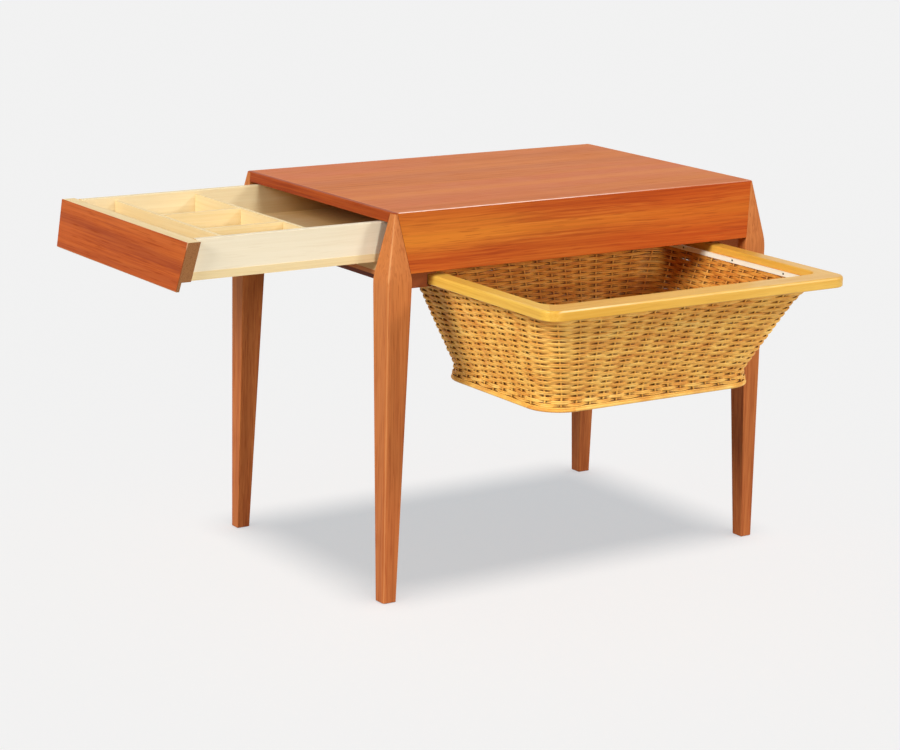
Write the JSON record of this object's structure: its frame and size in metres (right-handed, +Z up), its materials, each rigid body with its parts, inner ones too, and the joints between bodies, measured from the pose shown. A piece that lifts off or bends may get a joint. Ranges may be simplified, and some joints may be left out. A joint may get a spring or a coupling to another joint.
{
  "type": "sewing table",
  "caption": "Low teak sewing table on pointed legs, with a fitted drawer pulled out of one end and a woven cane basket in a wooden frame pulled out under the front apron.",
  "frame": {"origin": "middle of the footprint of the drawn pose, with drawer and basket pulled out, on the floor", "axes": "+X along the table's long side, away from the drawer's end; +Y to the back, away from the basket; +Z up"},
  "size_m": [0.8826, 0.6476, 0.5],
  "materials": {
    "teak_panel": "oiled teak veneer, satin",
    "teak_solid": "oiled solid teak, satin",
    "maple": "pale lacquered maple, satin",
    "drawer_core": "edge-lacquered core wood",
    "plywood": "pale lacquered plywood",
    "beech": "plain beech",
    "golden_beech": "yellowed lacquered beech, gloss",
    "pale_lath": "bare pale lath",
    "cane": "natural woven cane",
    "steel_nail": "darkened steel",
    "steel_screw": "plain steel"
  },
  "bodies": {
    "table": {"top_panel": "teak_panel", "top_end_lipping": "teak_panel", "apron_front": "teak_panel", "apron_back": "teak_panel", "apron_right": "teak_panel", "leg_front_left": "teak_solid", "leg_front_right": "teak_solid", "leg_back_left": "teak_solid", "leg_back_right": "teak_solid", "drawer_rail": "beech", "drawer_rail_strip": "teak_solid", "drawer_runner_front": "beech", "drawer_runner_back": "beech", "drawer_guide_front": "beech", "drawer_guide_back": "beech", "drawer_stops": "beech", "basket_runner_left": "teak_solid", "basket_runner_right": "teak_solid", "dowels": "beech", "runner_screws": "steel_screw"},
    "drawer": {"drawer_front": "drawer_core", "drawer_front_veneer": "teak_panel", "drawer_side_front": "maple", "drawer_side_back": "maple", "drawer_back": "maple", "drawer_bottom": "plywood", "cross_divider_front": "maple", "cross_divider_rear": "maple", "lengthwise_divider_back": "maple", "lengthwise_divider_front": "maple"},
    "basket": {"frame_rail_front": "golden_beech", "frame_rail_back": "golden_beech", "frame_rail_left": "golden_beech", "frame_rail_right": "golden_beech", "basket_body": "cane", "basket_foot_rod": "cane", "lath_left": "pale_lath", "lath_right": "pale_lath", "lath_front": "pale_lath", "lath_back": "pale_lath", "lath_nails": "steel_nail"}
  },
  "joints": [
    {"name": "drawer_slide", "type": "slide", "parent": "table", "child": "drawer", "axis": [1, 0, 0], "range_m": [-0.06, 0.277]},
    {"name": "basket_slide", "type": "slide", "parent": "table", "child": "basket", "axis": [0, 1, 0], "range_m": [-0.05, 0.2495]}
  ]
}
